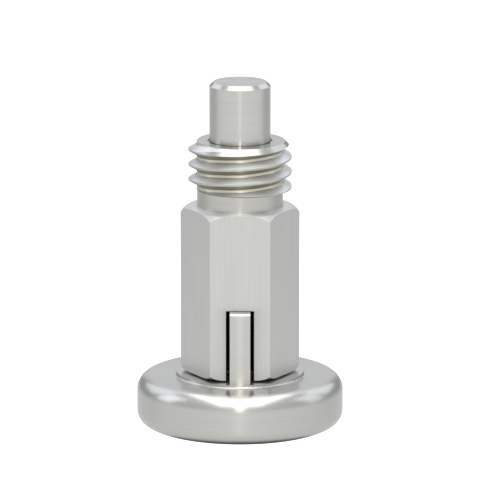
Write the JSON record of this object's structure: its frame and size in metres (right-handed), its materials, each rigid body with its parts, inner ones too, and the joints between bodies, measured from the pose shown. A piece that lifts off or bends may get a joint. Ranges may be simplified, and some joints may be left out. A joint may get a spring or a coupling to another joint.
{
  "type": "spring plunger",
  "caption": "Locking spring plunger: hexagon body with threaded nose, round sprung index pin, and a turned pull knob whose tongues ride in the body's cross slot.",
  "frame": {"origin": "centre of the knob's flat base, with the plunger standing on its knob", "axes": "+Z along the axis, from the knob through the hexagon and the thread to the pin's tip; the locking slot runs along Y"},
  "size_m": [0.024, 0.024, 0.0404],
  "materials": {
    "body_steel": "machined from bright hexagon bar, fine turning marks",
    "pin_steel": "ground",
    "spring_steel": "drawn wire, satin",
    "knob_steel": "turned and tumbled smooth"
  },
  "bodies": {
    "body": {"hex_body": "body_steel", "return_spring": "spring_steel"},
    "pin": {"index_pin": "pin_steel"},
    "knob": {"pull_knob": "knob_steel"}
  },
  "joints": [
    {"name": "knob_pull", "type": "slide", "parent": "body", "child": "pin", "axis": [0, 0, -1], "range_m": [0, 0.0087], "stiffness_N_per_m": 2500, "springref_m": -0.003, "deforming": ["return_spring"]},
    {"name": "knob_turn", "type": "hinge", "parent": "pin", "child": "knob", "pos_m": [0, 0, 0], "axis": [0, 0, 1], "range_deg": [-4, 4]}
  ]
}
